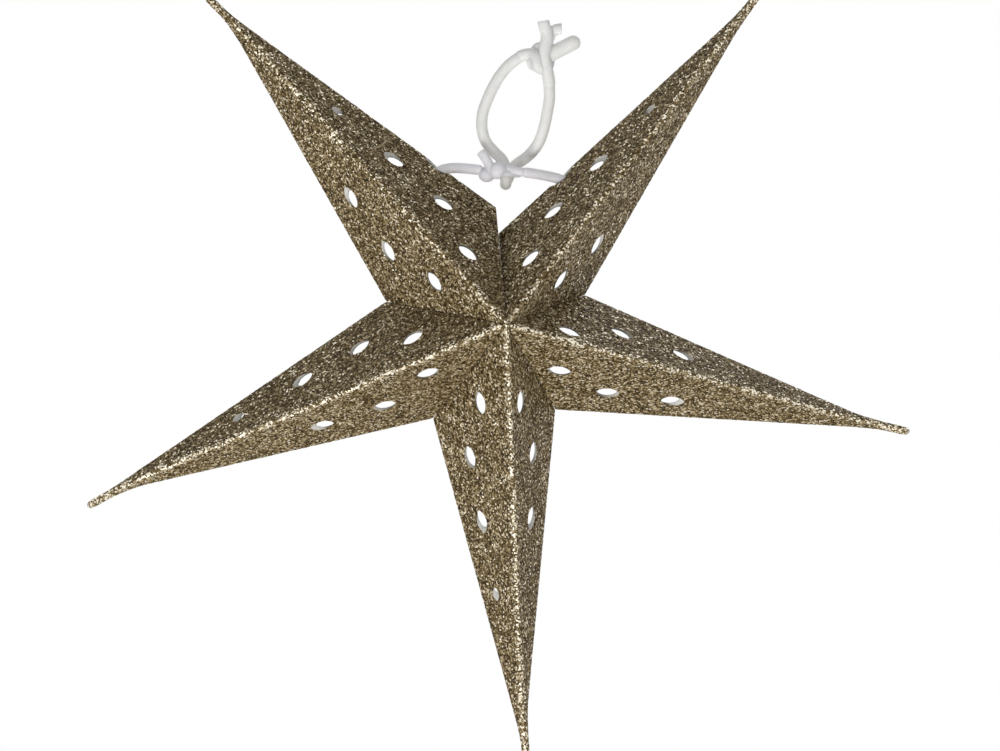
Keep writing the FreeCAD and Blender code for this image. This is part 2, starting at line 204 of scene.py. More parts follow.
def vertex_normals(places: np.ndarray, faces: np.ndarray) -> np.ndarray:
    """Return unit normals, the sum of the cross products of the triangles round each vertex."""
    a, b, c = (places[faces[:, i]] for i in range(3))
    cross = np.cross(b - a, c - a)
    total = np.zeros_like(places)
    for i in range(3):
        for axis in range(3):
            total[:, axis] += np.bincount(faces[:, i], cross[:, axis], len(places))
    return unit(total)


def closed_rings(rings: np.ndarray, poles: np.ndarray) -> tuple:
    """Join rings of places into a tube.

    Args:
        rings: places, by ring and by side.
        poles: the two places that close the first and the last ring.

    Returns:
        The places and the triangles.
    """
    rows, sides, _ = rings.shape
    top = rows * sides
    number = np.arange(top).reshape(rows, sides)
    after = np.roll(number, -1, axis=1)
    faces = np.concatenate((
        np.stack((number[:-1], after[:-1], after[1:]), axis=-1).reshape(-1, 3),
        np.stack((number[:-1], after[1:], number[1:]), axis=-1).reshape(-1, 3),
        np.stack((after[0], number[0], np.full(sides, top)), axis=1),
        np.stack((number[-1], after[-1], np.full(sides, top + 1)), axis=1),
    ))
    return np.concatenate((rings.reshape(-1, 3), poles)), faces


def new_object(name: str, data: bpy.types.ID) -> bpy.types.Object:
    """Return a new object in the scene, at the origin."""
    made = bpy.data.objects.new(name, data)
    bpy.context.scene.collection.objects.link(made)
    return made


def make_mesh(
    name: str,
    places: np.ndarray,
    faces: np.ndarray,
    finishes: list,
    finish_of_face: np.ndarray = None,
    smooth: bool = False,
    tones: dict = None,
) -> bpy.types.Object:
    """Put arrays of triangles into a new object at the origin.

    Args:
        name: the piece's name.
        places: vertex places.
        faces: vertex numbers, three for each triangle.
        finishes: the materials.
        finish_of_face: the material's number for each triangle, or all the first one.
        smooth: whether the triangles are shaded as one smooth surface.
        tones: more numbers for each vertex, by attribute name.

    Returns:
        The new object.
    """
    used, numbers = np.unique(faces, return_inverse=True)
    faces = numbers.reshape(faces.shape)
    mesh = bpy.data.meshes.new(name)
    mesh.vertices.add(len(used))
    mesh.vertices.foreach_set("co", places[used].astype(np.float32).ravel())
    mesh.loops.add(faces.size)
    mesh.polygons.add(len(faces))
    mesh.polygons.foreach_set("loop_start", np.arange(0, faces.size, 3, dtype=np.int32))
    mesh.polygons.foreach_set("vertices", faces.astype(np.int32).ravel())
    if finish_of_face is not None:
        mesh.polygons.foreach_set("material_index", finish_of_face.astype(np.int32))
    mesh.polygons.foreach_set("use_smooth", np.full(len(faces), smooth))
    for key, numbers_of_vertices in (tones or {}).items():
        attribute = mesh.attributes.new(key, "FLOAT", "POINT")
        attribute.data.foreach_set("value", numbers_of_vertices[used].astype(np.float32))
    mesh.update(calc_edges=True)
    mesh.validate()
    piece = new_object(name, mesh)
    for finish in finishes:
        mesh.materials.append(finish)
    return piece


@dataclass(frozen=True)
class NodeSheet:
    """The nodes of a material or of the world, with a short way to add and link them."""

    tree: bpy.types.NodeTree
    material: bpy.types.Material = None

    @classmethod
    def new(cls, name: str) -> "NodeSheet":
        """Return the nodes of a new material, its shader and its output."""
        material = bpy.data.materials.new(name)
        material.use_nodes = True
        return cls(material.node_tree, material)

    @property
    def shader(self) -> bpy.types.Node:
        """The material's own shader."""
        return self.tree.nodes["Principled BSDF"]

    def set(self, **values: object) -> None:
        """Set the shader's own sockets, whose spaces are written as underscores."""
        for key, value in values.items():
            self.shader.inputs[key.replace("_", " ")].default_value = value

    def add(self, kind: str, **settings: object) -> bpy.types.Node:
        """Return a new node with the given properties."""
        node = self.tree.nodes.new(kind)
        for key, value in settings.items():
            setattr(node, key, value)
        return node

    def link(self, source: bpy.types.NodeSocket, target: bpy.types.NodeSocket) -> None:
        """Join an output to an input."""
        self.tree.links.new(source, target)

    def result(self, kind: str, operation: str, values: tuple) -> bpy.types.Node:
        """Return a node that works on values, each of which is a socket, a number or a vector."""
        node = self.add(kind, operation=operation)
        for socket, value in zip(node.inputs, values):
            if isinstance(value, bpy.types.NodeSocket):
                self.link(value, socket)
            else:
                socket.default_value = value
        return node

    def math(self, operation: str, *values: object) -> bpy.types.NodeSocket:
        """Return the result of an operation on sockets or numbers."""
        return self.result("ShaderNodeMath", operation, values).outputs[0]

    def vector_math(self, operation: str, *values: object) -> bpy.types.NodeSocket:
        """Return the vector that an operation on sockets or vectors gives."""
        return self.result("ShaderNodeVectorMath", operation, values).outputs[0]

    def object_place(self) -> bpy.types.NodeSocket:
        """Return the Object coordinates."""
        return self.add("ShaderNodeTexCoord").outputs["Object"]

    def attribute(self, name: str) -> bpy.types.NodeSocket:
        """Return a number that the mesh holds for each vertex."""
        return self.add("ShaderNodeAttribute", attribute_name=name).outputs["Fac"]

    def pattern(self, kind: str, size: float) -> bpy.types.Node:
        """Return a texture whose cells or patches have about the given size."""
        node = self.add(kind)
        node.inputs["Scale"].default_value = 1.0 / size
        self.link(self.object_place(), node.inputs["Vector"])
        return node

    def noise(self, size: float, detail: float = 2.0) -> bpy.types.NodeSocket:
        """Return cloudy noise whose patches have about the given size."""
        node = self.pattern("ShaderNodeTexNoise", size)
        node.inputs["Detail"].default_value = detail
        return node.outputs["Fac"]

    def ramp(self, source: bpy.types.NodeSocket, stops: tuple) -> bpy.types.NodeSocket:
        """Return the colour at a place from 0 to 1 on a ramp of (place, linear colour) stops."""
        node = self.add("ShaderNodeValToRGB")
        elements = node.color_ramp.elements
        while len(elements) < len(stops):
            elements.new(0.5)
        for element, (place, colour) in zip(elements, stops):
            element.position = place
            element.color = (*colour, 1.0)
        self.link(source, node.inputs["Fac"])
        return node.outputs["Color"]

    def bump(self, height: bpy.types.NodeSocket, relief: float) -> None:
        """Let a pattern raise the surface by up to the relief."""
        node = self.add("ShaderNodeBump")
        node.inputs["Distance"].default_value = relief
        self.link(height, node.inputs["Height"])
        self.link(node.outputs["Normal"], self.shader.inputs["Normal"])

    def plain_sight(self) -> bpy.types.NodeSocket:
        """Return 1 for camera, glossy and transmission rays and 0 for the rest."""
        rays = self.add("ShaderNodeLightPath").outputs
        seen = self.math("MAXIMUM", rays["Is Camera Ray"], rays["Is Glossy Ray"])
        return self.math("MAXIMUM", seen, rays["Is Transmission Ray"])

    def show(self, share: bpy.types.NodeSocket, shaders: tuple, output: bpy.types.Node) -> None:
        """Show the first of two shaders, mixed with a share of the second."""
        mix = self.add("ShaderNodeMixShader")
        for source, socket in zip((share, *(shader.outputs[0] for shader in shaders)), mix.inputs):
            self.link(source, socket)
        self.link(mix.outputs[0], output.inputs["Surface"])


@dataclass(frozen=True)
class GlitterFinish:
    """Card strewn with small metal flakes, champagne to dark brown, each lying at its own tilt."""

    flake_size: float = 0.00023
    tilt: float = 0.6
    patch_size: float = 0.003
    patch_strength: float = 0.16
    # How far the painted ridge highlight raises the tone
    painted_ridge_highlight_strength: float = 0.30
    mirror_start: float = 0.93
    mirror_blend: float = 0.03
    mirror_metal: float = 0.9
    roughness: float = 0.5
    specular: float = 0.10
    tones: tuple = (
        (0.0, (0.014, 0.007, 0.001)),
        (0.20, (0.052, 0.031, 0.007)),
        (0.50, (0.136, 0.094, 0.037)),
        (0.78, (0.335, 0.250, 0.128)),
        (0.93, (0.650, 0.545, 0.365)),
        (1.0, (0.950, 0.880, 0.720)),
    )

    def material(self) -> bpy.types.Material:
        """Return the glitter material: a random tone and normal for each cell of a fine pattern.

        The place on the ramp of tones is the cell's own random number, moved by a cloudy pattern
        and raised on the ridges by a painted highlight. The brightest flakes are bare metal.
        """
        sheet = NodeSheet.new("glitter_card")
        cells = sheet.pattern("ShaderNodeTexVoronoi", self.flake_size)
        split = sheet.add("ShaderNodeSeparateColor")
        sheet.link(cells.outputs["Color"], split.inputs["Color"])
        cloud = sheet.math("SUBTRACT", sheet.noise(self.patch_size), 0.5)
        cloud = sheet.math("MULTIPLY", cloud, self.patch_strength)
        # Painted highlight: the ridges' tones are raised to stand in for light caught on the
        # creases
        ridge = sheet.math("MULTIPLY", sheet.attribute("painted_highlight"), self.painted_ridge_highlight_strength)
        tone = sheet.math("ADD", sheet.math("ADD", split.outputs["Red"], cloud), ridge)
        sheet.link(sheet.ramp(tone, self.tones), sheet.shader.inputs["Base Color"])
        metal = sheet.ramp(tone, (
            (0.0, (0.0,) * 3),
            (self.mirror_start, (0.0,) * 3),
            (self.mirror_start + self.mirror_blend, (self.mirror_metal,) * 3),
        ))
        sheet.link(metal, sheet.shader.inputs["Metallic"])
        lean = sheet.vector_math("SUBTRACT", cells.outputs["Color"], (0.5,) * 3)
        lean = sheet.vector_math("MULTIPLY", lean, (self.tilt,) * 3)
        normal = sheet.add("ShaderNodeNewGeometry").outputs["Normal"]
        leaning = sheet.vector_math("NORMALIZE", sheet.vector_math("ADD", normal, lean))
        sheet.link(leaning, sheet.shader.inputs["Normal"])
        sheet.set(Roughness=self.roughness, Specular_IOR_Level=self.specular)
        return sheet.material


@dataclass(frozen=True)
class PaperFinish:
    """Bare side of the card, a warm grey with fine fibres."""

    name: str
    colour: tuple
    darkest: float = 0.82
    fibre_size: float = 0.0003
    fibre_detail: float = 4.0
    relief: float = 0.00002
    roughness: float = 0.85

    def material(self) -> bpy.types.Material:
        """Return the paper material: two close tones mixed by fibre noise, with its bump."""
        sheet = NodeSheet.new(self.name)
        fibres = sheet.noise(self.fibre_size, self.fibre_detail)
        darker = tuple(self.darkest * part for part in self.colour)
        tone = sheet.ramp(fibres, ((0.0, darker), (1.0, self.colour)))
        sheet.link(tone, sheet.shader.inputs["Base Color"])
        sheet.bump(fibres, self.relief)
        sheet.set(Roughness=self.roughness)
        return sheet.material


@dataclass(frozen=True)
class ElasticFinish:
    """Soft white elastic with a faint waxy gloss."""

    name: str
    colour: tuple
    shade: tuple
    mottle_size: float = 0.0009
    mottle_detail: float = 3.0
    weave_size: float = 0.00035
    relief: float = 0.00003
    roughness: float = 0.5
    glow_share: float = 0.35
    glow_depth: float = 0.0008
    glow_colour: tuple = (1.0, 0.95, 0.9)

    def material(self) -> bpy.types.Material:
        """Return the elastic material: pale, faintly mottled and letting some light through."""
        sheet = NodeSheet.new(self.name)
        mottle = sheet.noise(self.mottle_size, self.mottle_detail)
        tone = sheet.ramp(mottle, ((0.35, self.shade), (0.65, self.colour)))
        sheet.link(tone, sheet.shader.inputs["Base Color"])
        sheet.bump(sheet.noise(self.weave_size), self.relief)
        sheet.set(Roughness=self.roughness, Subsurface_Weight=self.glow_share,
                  Subsurface_Scale=self.glow_depth, Subsurface_Radius=self.glow_colour)
        return sheet.material


@dataclass(frozen=True)
class Valley:
    """Inner corner between two points, in the star's middle plane."""

    direction: float
    distance: float
    glued: bool = True

    def offset(self) -> np.ndarray:
        """Return its offset from the hub."""
        return in_plane(self.direction, self.distance)


@dataclass(frozen=True)
class EyePunch:
    """Pointed oval hole in a facet."""

    from_tip: float
    from_fold: float
    length: float
    width: float
    turn: float = 0.0


EYES = (
    EyePunch(0.0224, 0.0034, 0.0019, 0.0013),
    EyePunch(0.0327, 0.0047, 0.0033, 0.0021),
    EyePunch(0.0418, 0.0060, 0.0033, 0.0021),
    EyePunch(0.0487, 0.0115, 0.0033, 0.0021, 8.0),
)
TIE_SLOT = EyePunch(0.0379, 0.0, 0.0042, 0.0025)


@dataclass(frozen=True)
class Punching:
    """How a point's punches lie by hand.

    The eyes are shifted along the side folds. On the first and on the last side a factor spreads
    them from the fold, and some are lacking at the tip.
    """

    shift: float
    spread: tuple
    lacks: tuple


@dataclass(frozen=True)
class Skin:
    """Outer or inner surface of a point's card: its apex and the inner ends of its four folds."""

    tip: np.ndarray
    ends: np.ndarray

    def arms(self) -> np.ndarray:
        """Return the four folds as vectors from the apex."""
        return self.ends - self.tip


@dataclass
class CardPoint:
    """One point of the star: a creased blank, closed into a hollow spike with four facets.

    The flat blank is a fan of four triangles about the sharp tip. Each place in it is written as
    four shares, one for each fold, of which only two next to each other are not zero: the place is
    the tip plus each share times its fold's vector. Four more numbers hold the reach into each
    facet's glue tab.
    """

    name: str
    node: str
    direction: float
    reach: float
    bend: float
    first: Valley
    last: Valley
    punching: Punching
    seed: int
    ridge_softness: float = 0.0007
    side_softness: float = 0.00045
    soft_share: float = 0.42
    valley_softness: float = 0.00015
    step: float = 0.00030
    fewest: int = 4
    first_ring: float = 0.2
    jitter: float = 0.27
    grain: float = 0.000025
    grain_start: float = 0.0006
    least_grain: float = 0.25
    tab_width: float = 0.004
    tab_step: float = 0.0008
    tab_slopes: tuple = (1.3, 1.1)
    tab_coarseness: int = 3
    stub_half_width: float = 0.00076
    stub_half_depth: float = 0.00082
    stub_blend: float = 0.12
    stub_overhang: float = 0.0018
    stub_reach: float = 0.0075
    end_reach: float = 0.0007
    end_narrowing: float = 0.30
    end_shares: tuple = (0.8, 0.5, 0.22)
    end_bulge: float = 0.00025
    # Width and strength of the painted highlight on the ridges' tones
    painted_highlight_width: float = 0.0013
    painted_highlight_level: float = 1.0

    def __post_init__(self) -> None:
        """Work out the corners of both skins."""
        self.outward = in_plane(self.direction, 1.0)
        self.side = np.array((-self.outward[2], 0.0, self.outward[0]))
        self.middle = HUB + self.outward * self.reach * 0.4
        self.outer = self.outer_skin()
        self.inner = self.inner_skin()
        self.random = np.random.default_rng(self.seed)

    def outer_skin(self) -> Skin:
        """Return the sharp outer skin, before its folds are softened."""
        tip = HUB + self.outward * self.reach
        depth = DEPTH_WAY * APEX_HEIGHT
        ends = HUB + np.array((depth, self.first.offset(), -depth, self.last.offset()))
        return Skin(tip, ends)

    def valley_plane(self, valley: Valley) -> tuple:
        """Return the half plane of a valley, moved inwards by the card where it is glued."""
        away = valley.offset()
        normal = unit(np.array((-away[2], 0.0, away[0])))
        if normal @ (self.outer.tip - HUB) < 0.0:
            normal = -normal
        inset = CARD_THICKNESS if valley.glued else 0.0
        return normal, normal @ HUB + inset

    def inner_skin(self) -> Skin:
        """Return the inner skin, where the four facets' planes, moved inwards by the card, meet."""
        tip, ends = self.outer.tip, self.outer.ends
        planes = []
        for i in range(4):
            normal, offset = plane_through((tip, ends[i], ends[(i + 1) % 4]), self.middle)
            planes.append((normal, offset + CARD_THICKNESS))
        apex = meeting_point(planes[:3])
        first, last = self.valley_plane(self.first), self.valley_plane(self.last)
        inner_ends = []
        for i in range(4):
            stops = {1: [first], 3: [last]}.get(i, [first, last])
            reached = [meeting_point([planes[i - 1], planes[i], stop]) for stop in stops]
            inner_ends.append(min(reached, key=lambda place: np.linalg.norm(place - apex)))
        return Skin(apex, np.array(inner_ends))

    def valley_of(self, facet: int) -> Valley:
        """Return the valley that a facet ends at."""
        return (self.first, self.last)[facet // 2]

    def fan(self) -> tuple:
        """Lay out the flat blank in rings about the tip.

        Ring k lies at the share k / rings of every fold and holds about as many places as its
        facets are wide in steps. Places between the folds are moved a little at random, as flakes
        lie.

        Returns:
            The eight numbers of each place, the triangles, the first ring and the last ring.
        """
        arms = self.outer.arms()
        rings = int(round(np.linalg.norm(arms[0]) / self.step))
        widest = np.mean([np.linalg.norm(arms[i] - arms[i - 1]) for i in range(4)])
        most = int(round(widest / self.step))
        shares, faces, rows = [], [], []
        start = 0
        for k in range(rings + 1):
            count = max(self.fewest, int(round(most * k / rings)))
            place = np.arange(4 * count)
            facet = np.repeat(np.arange(4), count)
            across = np.tile(np.arange(count) / count, 4)
            ring = np.full(4 * count, max(k, self.first_ring) / rings)
            if 2 < k < rings:
                free = across > 0.0
                aside, out = self.random.uniform(-self.jitter, self.jitter, (2, 4 * count))
                across = across + free * aside / count
                ring = ring + free * out / rings
            share = np.zeros((4 * count, 4))
            share[place, facet] = ring * (1.0 - across)
            share[place, (facet + 1) % 4] = ring * across
            shares.append(share)
            rows.append(start + place)
            start += 4 * count
        for before, row in zip(rows, rows[1:]):
            faces += [joined_rows(facet_span(before, q), facet_span(row, q)) for q in range(4)]
        values = np.zeros((start, 8))
        values[:, :4] = np.concatenate(shares)
        return values, np.concatenate(faces), rows[0], rows[-1]

    def with_tabs(self, values: np.ndarray, faces: np.ndarray, last_ring: np.ndarray) -> tuple:
        """Add a glue tab beyond the last ring at each glued valley, to places and triangles.

        A tab is a strip along the fold at the valley. Its ends slope in, more at the ridge than at
        the side fold, so that it narrows as it reaches in.
        """
        rows = max(2, int(round(self.tab_width / self.tab_step)))
        arms = self.outer.arms()
        for q in range(4):
            if not self.valley_of(q).glued:
                continue
            length = np.linalg.norm(arms[(q + 1) % 4] - arms[q])
            slopes = self.tab_slopes if q in (0, 2) else self.tab_slopes[::-1]
            before = facet_span(last_ring, q)
            along = np.linspace(0.0, 1.0, len(last_ring) // 4 // self.tab_coarseness + 1)
            for j in range(1, rows + 1):
                reach = self.tab_width * j / rows
                low, high = (slope * reach / length for slope in slopes)
                place = low + along * (1.0 - low - high)
                fresh = np.zeros((len(place), 8))
                fresh[:, q] = 1.0 - place
                fresh[:, (q + 1) % 4] = place
                fresh[:, 4 + q] = reach
                row = len(values) + np.arange(len(place))
                values = np.vstack((values, fresh))
                faces = np.concatenate((faces, joined_rows(before, row)))
                before = row
        return values, faces

    def flat_place(self, values: np.ndarray, facet: int) -> tuple:
        """Flat places in a facet.

        Args:
            values: the eight numbers of each place.
            facet: the facet's number.

        Returns:
            The distance along the side fold from the tip, the distance from that fold, and which
            places are in the facet.
        """
        side_fold, ridge = 1 if facet < 2 else 3, 0 if facet in (0, 3) else 2
        arms = self.outer.arms()
        side_length, ridge_length = np.linalg.norm(arms[side_fold]), np.linalg.norm(arms[ridge])
        angle = math.acos(arms[side_fold] @ arms[ridge] / (side_length * ridge_length))
        x = values[:, side_fold] * side_length + values[:, ridge] * ridge_length * math.cos(angle)
        y = values[:, ridge] * ridge_length * math.sin(angle)
        return x, y, in_facet(values, facet) & ~on_tab(values)

    def punched(self, values: np.ndarray, faces: np.ndarray) -> tuple:
        """Punch the facets' eyes, and the tie's slot across the side fold that isn't glued."""
        for facet in range(4):
            spread, lacks = self.punching.spread[facet // 2], self.punching.lacks[facet // 2]
            for eye in EYES[lacks:]:
                x, y, here = self.flat_place(values, facet)
                turn = math.radians(eye.turn)
                dx, dy = x - eye.from_tip - self.punching.shift, y - eye.from_fold * spread
                along = dx * math.cos(turn) + dy * math.sin(turn)
                across = dy * math.cos(turn) - dx * math.sin(turn)
                field = np.where(here, lens_field(along, across, eye.length, eye.width), 1.0)
                values, faces = cut_faces(values, faces, field)
        if not (self.first.glued and self.last.glued):
            front, back = (2, 3) if self.first.glued else (1, 0)
            x, y_front, in_front = self.flat_place(values, front)
            _, y_back, in_back = self.flat_place(values, back)
            y = np.where(in_front, y_front, -y_back)
            field = lens_field(x - TIE_SLOT.from_tip, y, TIE_SLOT.length, TIE_SLOT.width)
            values, faces = cut_faces(values, faces, np.where(in_front | in_back, field, 1.0))
        return values, faces

    def folded(self, values: np.ndarray, skin: Skin) -> np.ndarray:
        """Fold the blank: the tip, plus shares times folds' vectors, plus reaches into tabs."""
        places = skin.tip + values[:, :4] @ skin.arms()
        for q in range(4):
            places += values[:, 4 + q:5 + q] * self.tab_way(skin, q)
        return places

    def tab_way(self, skin: Skin, facet: int) -> np.ndarray:
        """Return the way a facet's tab reaches, square to its fold and in the valley's plane."""
        a, b = skin.ends[facet], skin.ends[(facet + 1) % 4]
        fold = unit(b - a)
        inwards = HUB - (a + b) / 2.0
        return unit(inwards - fold * (inwards @ fold))

    def beside(self, values: np.ndarray, i: int) -> tuple:
        """Measure across a fold.

        Args:
            values: the eight numbers of each place.
            i: the fold's number.

        Returns:
            The sum of the two directions square to the fold in its facets, the width of the
            narrower facet there, and each place's distance from the fold.
        """
        arms = self.outer.arms()
        fold = unit(arms[i])
        ahead, behind = (arm - fold * (arm @ fold) for arm in (arms[(i + 1) % 4], arms[i - 1]))
        ahead_size, behind_size = np.linalg.norm(ahead), np.linalg.norm(behind)
        away = values[:, (i + 1) % 4] * ahead_size + values[:, (i - 1) % 4] * behind_size
        return ahead / ahead_size + behind / behind_size, min(ahead_size, behind_size), away

    def softened(self, values: np.ndarray, places: np.ndarray) -> np.ndarray:
        """Round the outer skin's folds.

        Within a distance D of a fold, the card follows a parabola that touches both facets at D: a
        place at the distance d moves by half the sum of the facets' directions times D (1 - d / D)
        squared / 2.

        Args:
            values: the eight numbers of each place.
            places: the sharply folded places.

        Returns:
            The places with rounded folds.
        """
        moved = places.copy()
        reach = values[:, :4].sum(axis=1)
        for i in range(4):
            ways, narrower, away = self.beside(values, i)
            softness = self.ridge_softness if i in (0, 2) else self.side_softness
            width = np.minimum(softness, self.soft_share * reach * narrower)
            near = (values[:, (i + 2) % 4] < NOTHING) & ~on_tab(values) & (away < width)
            moved += np.where(near, rounded(away, width), 0.0)[:, None] * ways / 2.0
        arms = self.outer.arms()
        for q in range(4):
            if not self.valley_of(q).glued:
                continue
            line = unit(arms[(q + 1) % 4] - arms[q])
            square = arms[q] - line * (arms[q] @ line)
            other_tabs = [4 + i for i in range(4) if i != q]
            here = in_facet(values, q) & (values[:, other_tabs].max(axis=1) <= 0.0)
            into_tab = values[:, 4 + q]
            away = np.where(into_tab > 0.0, into_tab, (1.0 - reach) * np.linalg.norm(square))
            here &= away < self.valley_softness
            pull = np.where(here, rounded(away, self.valley_softness), 0.0)
            shared = np.where((values[:, [q, (q + 1) % 4]] < NOTHING).any(axis=1), 0.5, 1.0)
            moved += (pull * shared)[:, None] * (self.tab_way(self.outer, q) - unit(square)) / 2.0
        return moved

    def painted_ridge_highlight(self, values: np.ndarray) -> np.ndarray:
        """Return how much painted highlight each place gets: most on a ridge's crease, nothing
        beside the ridge.
        """
        painted_highlight = np.zeros(len(values))
        for i in (0, 2):
            away = self.beside(values, i)[2] + values[:, (i + 2) % 4]
            painted_highlight = np.maximum(painted_highlight, np.clip(1.0 - away / self.painted_highlight_width, 0.0, 1.0))
        return np.where(on_tab(values), 0.0, self.painted_highlight_level * painted_highlight)

    def pinched(self, places: np.ndarray) -> np.ndarray:
        """Press the layers together at the tip.

        Across the point, a section's half width and half depth follow the spike and turn smoothly
        into the stub's own, and the stub is drawn out past the sharp tip and bent a little to one
        side.
        """
        offset = places - self.outer.tip
        inwards = -(offset @ self.outward)
        sideways, depthways = offset @ self.side, offset @ DEPTH_WAY
        arms = self.outer.arms()
        slopes = [abs(arms[i] @ self.side) / -(arms[i] @ self.outward) for i in (1, 3)]
        first_sign = np.sign(arms[1] @ self.side)
        side_slope = np.where(sideways * first_sign > 0.0, slopes[0], slopes[1])
        depth_slope = APEX_HEIGHT / self.reach
        along = np.maximum(inwards, 1e-6)

        def eased(slope: np.ndarray, floor: float) -> np.ndarray:
            """Return the section's half size over the sharp spike's, never below the stub's."""
            sharp = along * slope
            half = (sharp + floor) / 2.0
            blend = (self.stub_blend * floor) ** 2
            return (half + np.sqrt(((sharp - floor) / 2.0) ** 2 + blend)) / sharp

        end = np.clip(1.0 - along / self.end_reach, 0.0, 1.0)
        rounding = 1.0 - self.end_narrowing * end ** 2
        fade = np.clip(1.0 - along / self.stub_reach, 0.0, 1.0) ** 2
        new_side = sideways * eased(side_slope, self.stub_half_width) * rounding + self.bend * fade
        new_depth = depthways * eased(depth_slope, self.stub_half_depth) * rounding
        new_along = -inwards + self.stub_overhang * fade
        return (self.outer.tip + new_along[:, None] * self.outward + new_side[:, None] * self.side
                + new_depth[:, None] * DEPTH_WAY)

    def grain_heights(self, values: np.ndarray) -> np.ndarray:
        """Return how far the flakes raise each place: less near a valley, and nothing on a tab."""
        to_valley = (1.0 - values[:, :4].sum(axis=1)) * np.linalg.norm(self.outer.arms()[1])
        rough = np.clip(to_valley / self.grain_start, self.least_grain, 1.0)
        height = self.grain * self.random.uniform(-1.0, 1.0, len(values))
        return height * np.where(on_tab(values), 0.0, rough)

    def build(self, finishes: list) -> bpy.types.Object:
        """Make the card: both skins, the cut edges between them and the blunt end."""
        values, faces, first_ring, last_ring = self.fan()
        values, faces = self.with_tabs(values, faces, last_ring)
        values, faces = self.punched(values, faces)
        outer = self.pinched(self.softened(values, self.folded(values, self.outer)))
        a, b, c = outer[faces[len(faces) // 2]]
        if np.cross(b - a, c - a) @ (a - self.middle) < 0.0:
            faces = faces[:, ::-1]
        outer = outer + vertex_normals(outer, faces) * self.grain_heights(values)[:, None]
        count = len(values)
        inner_faces = faces[:, ::-1] + count
        at_tip = np.isin(inner_faces, first_ring + count)
        inner_faces = np.where(at_tip, first_ring[0] + count, inner_faces)
        inner_faces = inner_faces[(inner_faces != np.roll(inner_faces, 1, axis=1)).all(axis=1)]
        edges = rim_edges(faces)
        a, b = edges[~np.isin(edges, first_ring).all(axis=1)].T
        rim = np.concatenate((
            np.stack((b, a, a + count), axis=1),
            np.stack((b, a + count, b + count), axis=1),
        ))
        cap_places, cap_faces = self.blunt_end(outer[first_ring], 2 * count, first_ring)
        places = np.concatenate((outer, self.folded(values, self.inner), cap_places))
        all_faces = np.concatenate((faces, inner_faces, rim, cap_faces))
        kinds = np.repeat((0, 1, 2), (len(faces), len(inner_faces), len(rim) + len(cap_faces)))
        # Painted highlight along the ridges, kept on the outer skin's vertices for the glitter
        # material
        painted_highlight = np.zeros(len(places))
        painted_highlight[:count] = self.painted_ridge_highlight(values)
        piece = make_mesh(self.name, places, all_faces, finishes, kinds, tones={"painted_highlight": painted_highlight})
        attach(piece, BODY)
        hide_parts(self.node)
        LOG.info("%s: %d triangles", self.name, len(all_faces))
        return piece

    def blunt_end(self, ring_places: np.ndarray, start: int, ring: np.ndarray) -> tuple:
        """Close the end of the stub with rings that shrink to a point and swell a little outwards.

        Args:
            ring_places: places of the first ring.
            start: number of the first new vertex.
            ring: vertex numbers of the first ring.

        Returns:
            The new places and the triangles.
        """
        centre = ring_places.mean(axis=0)
        count = len(ring)
        places, rows = [], [ring]
        for number, share in enumerate(self.end_shares):
            bulge = self.outward * self.end_bulge * (1.0 - share ** 2)
            places.append(centre + (ring_places - centre) * share + bulge)
            rows.append(start + number * count + np.arange(count))
        places.append((centre + self.outward * self.end_bulge)[None, :])
        rows = [np.append(row, row[0]) for row in rows]
        faces = [joined_rows(before, row) for before, row in zip(rows, rows[1:])]
        pole = np.full(count, start + count * len(self.end_shares))
        faces.append(np.stack((rows[-1][:-1], rows[-1][1:], pole), axis=1))
        faces = np.concatenate(faces)
        if np.cross(ring_places[0] - centre, ring_places[1] - centre) @ self.outward < 0.0:
            faces = faces[:, ::-1]
        return np.concatenate(places), faces


@dataclass(frozen=True)
class GluedStar:
    """The five points of the star."""

    seam_right: Valley = Valley(95.15, 0.0129, False)
    seam_left: Valley = Valley(95.25, 0.0166, False)
    upper_left: Valley = Valley(169.1, 0.0173)
    lower_left: Valley = Valley(231.8, 0.0168)
    lower_right: Valley = Valley(299.8, 0.0138)
    upper_right: Valley = Valley(20.8, 0.0118)

    def points(self) -> list:
        """Return the points, each between its anticlockwise and its clockwise valley."""
        return [
            # The two upper points get a weaker painted ridge highlight
            CardPoint("card_upper_right", "star_point_upper_right", 52.7, 0.0583, 0.0,
                      self.seam_right, self.upper_right, Punching(0.0, (0.95, 0.87), (0, 2)), 11,
                      ridge_softness=0.0010, painted_highlight_level=0.7),
            CardPoint("card_upper_left", "star_point_upper_left", 132.1, 0.0603, 0.0004,
                      self.upper_left, self.seam_left, Punching(0.0, (1.04, 1.11), (1, 0)), 12,
                      ridge_softness=0.0010, painted_highlight_level=0.5),
            CardPoint("card_left", "star_point_left", 202.8, 0.0618, 0.0007,
                      self.lower_left, self.upper_left, Punching(0.0, (1.06, 0.95), (1, 0)), 13),
            CardPoint("card_bottom", "star_point_bottom", 272.3, 0.0598, 0.0004,
                      self.lower_right, self.lower_left, Punching(0.0, (1.03, 0.99), (1, 0)), 14),
            CardPoint("card_right", "star_point_right", 344.8, 0.0562, 0.0003,
                      self.upper_right, self.lower_right,
                      Punching(-0.0014, (1.12, 0.86), (1, 1)), 15),
        ]

    def build(self) -> list:
        """Make the five cards with their shared finishes."""
        finishes = [
            GlitterFinish().material(),
            PaperFinish("card_inside", (0.80, 0.79, 0.75)).material(),
            PaperFinish("card_edge", (0.74, 0.72, 0.67)).material(),
        ]
        return [point.build(finishes) for point in self.points()]


